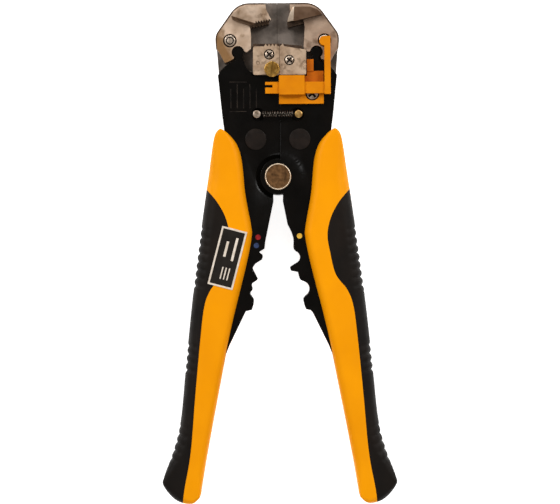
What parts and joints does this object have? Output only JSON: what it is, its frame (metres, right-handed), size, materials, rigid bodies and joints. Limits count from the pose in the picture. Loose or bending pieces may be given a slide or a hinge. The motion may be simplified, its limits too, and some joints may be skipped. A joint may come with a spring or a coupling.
{
  "type": "wire stripper",
  "caption": "Hand-held self-adjusting wire stripper and crimper with sprung handles, a split head with toothed jaws and blades, and a sliding length stop.",
  "frame": {"origin": "on the main rivet's axis, at the rivet's rear face, which lies on the table", "axes": "+Z out of the tool's front face, +Y from the handles towards the head, +X to the tool's right seen from the front"},
  "size_m": [0.0958, 0.2046, 0.0204],
  "materials": {
    "black_steel": "satin black coating",
    "dark_stud": "dark blackened steel",
    "cast_frame": "fine cast grey",
    "bright_steel": "ground steel",
    "blade_steel": "ground tool steel",
    "screw_steel": "zinc plated",
    "rivet_steel": "turned steel",
    "spring_steel": "drawn wire",
    "brass": "knurled brass",
    "orange_plastic": "semi-gloss moulded",
    "stop_plastic": "moulded",
    "black_rubber": "soft-touch",
    "label_black": "printed film with a white border",
    "red_paint": "paint dot",
    "blue_paint": "paint dot",
    "yellow_paint": "paint dot"
  },
  "bodies": {
    "pivot": {"main_rivet": "rivet_steel", "handle_return_spring": "spring_steel", "tension_spring": "spring_steel"},
    "left_frame": {"left_frame": "cast_frame", "left_spring_post": "screw_steel", "left_lower_gripper": "bright_steel", "left_cover_plate": "bright_steel", "left_cover_screw": "screw_steel", "left_jaw_pin": "screw_steel"},
    "right_frame": {"right_frame": "cast_frame", "right_spring_post": "screw_steel", "right_lower_blade": "bright_steel", "right_cover_plate": "bright_steel", "right_cover_screw": "screw_steel", "right_jaw_pin": "screw_steel", "stop_holder": "stop_plastic", "stop_screw": "screw_steel"},
    "left_handle": {"left_front_plate": "black_steel", "left_back_plate": "black_steel", "left_spacer_stud": "dark_stud", "left_grip": "orange_plastic", "left_overmould": "black_rubber", "grip_label": "label_black", "red_crimp_mark": "red_paint", "blue_crimp_mark": "blue_paint"},
    "right_handle": {"right_front_plate": "black_steel", "right_back_plate": "black_steel", "right_spacer_stud": "dark_stud", "right_grip": "orange_plastic", "right_overmould": "black_rubber", "yellow_crimp_mark": "yellow_paint"},
    "left_jaw": {"left_upper_jaw": "bright_steel", "left_gripping_pad": "bright_steel"},
    "right_jaw": {"right_upper_jaw": "bright_steel", "right_upper_blade": "blade_steel"},
    "length_stop": {"stop_slider": "stop_plastic"},
    "adjuster": {"adjuster_screw": "brass"}
  },
  "joints": [
    {"name": "left_frame_split", "type": "hinge", "parent": "pivot", "child": "left_frame", "pos_m": [0, 0, 0.0088], "axis": [0, 0, 1], "range_deg": [0, 8.5], "stiffness_Nm_per_rad": 1.5, "springref_deg": -5.73, "deforming": ["tension_spring"]},
    {"name": "right_frame_split", "type": "hinge", "parent": "pivot", "child": "right_frame", "pos_m": [0, 0, 0.0088], "axis": [0, 0, -1], "range_deg": [0, 8.5]},
    {"name": "left_handle_squeeze", "type": "hinge", "parent": "left_frame", "child": "left_handle", "pos_m": [0, 0, 0.0088], "axis": [0, 0, 1], "range_deg": [0, 2.4], "stiffness_Nm_per_rad": 1.5, "springref_deg": -5.73, "deforming": ["handle_return_spring"]},
    {"name": "right_handle_squeeze", "type": "hinge", "parent": "right_frame", "child": "right_handle", "pos_m": [0, 0, 0.0088], "axis": [0, 0, -1], "range_deg": [0, 2.4]},
    {"name": "left_jaw_close", "type": "hinge", "parent": "left_frame", "child": "left_jaw", "pos_m": [-0.0193, 0.0556, 0.0088], "axis": [0, 0, -1], "range_deg": [0, 22.1]},
    {"name": "right_jaw_close", "type": "hinge", "parent": "right_frame", "child": "right_jaw", "pos_m": [0.0193, 0.0556, 0.0088], "axis": [0, 0, 1], "range_deg": [0, 22.1]},
    {"name": "length_stop_slide", "type": "slide", "parent": "right_frame", "child": "length_stop", "axis": [1, 0, 0], "range_m": [0, 0.0055]},
    {"name": "adjuster_turn", "type": "hinge", "parent": "left_frame", "child": "adjuster", "pos_m": [-0.0022, 0.0435, 0.0185], "axis": [0, 0, 1], "range_deg": [-180, 180]}
  ],
  "couplings": [
    {"joint": "right_frame_split", "follows": "left_frame_split", "ratio": 1},
    {"joint": "right_handle_squeeze", "follows": "left_handle_squeeze", "ratio": 1},
    {"joint": "left_jaw_close", "follows": "left_handle_squeeze", "ratio": 9.2},
    {"joint": "right_jaw_close", "follows": "left_handle_squeeze", "ratio": 9.2}
  ]
}
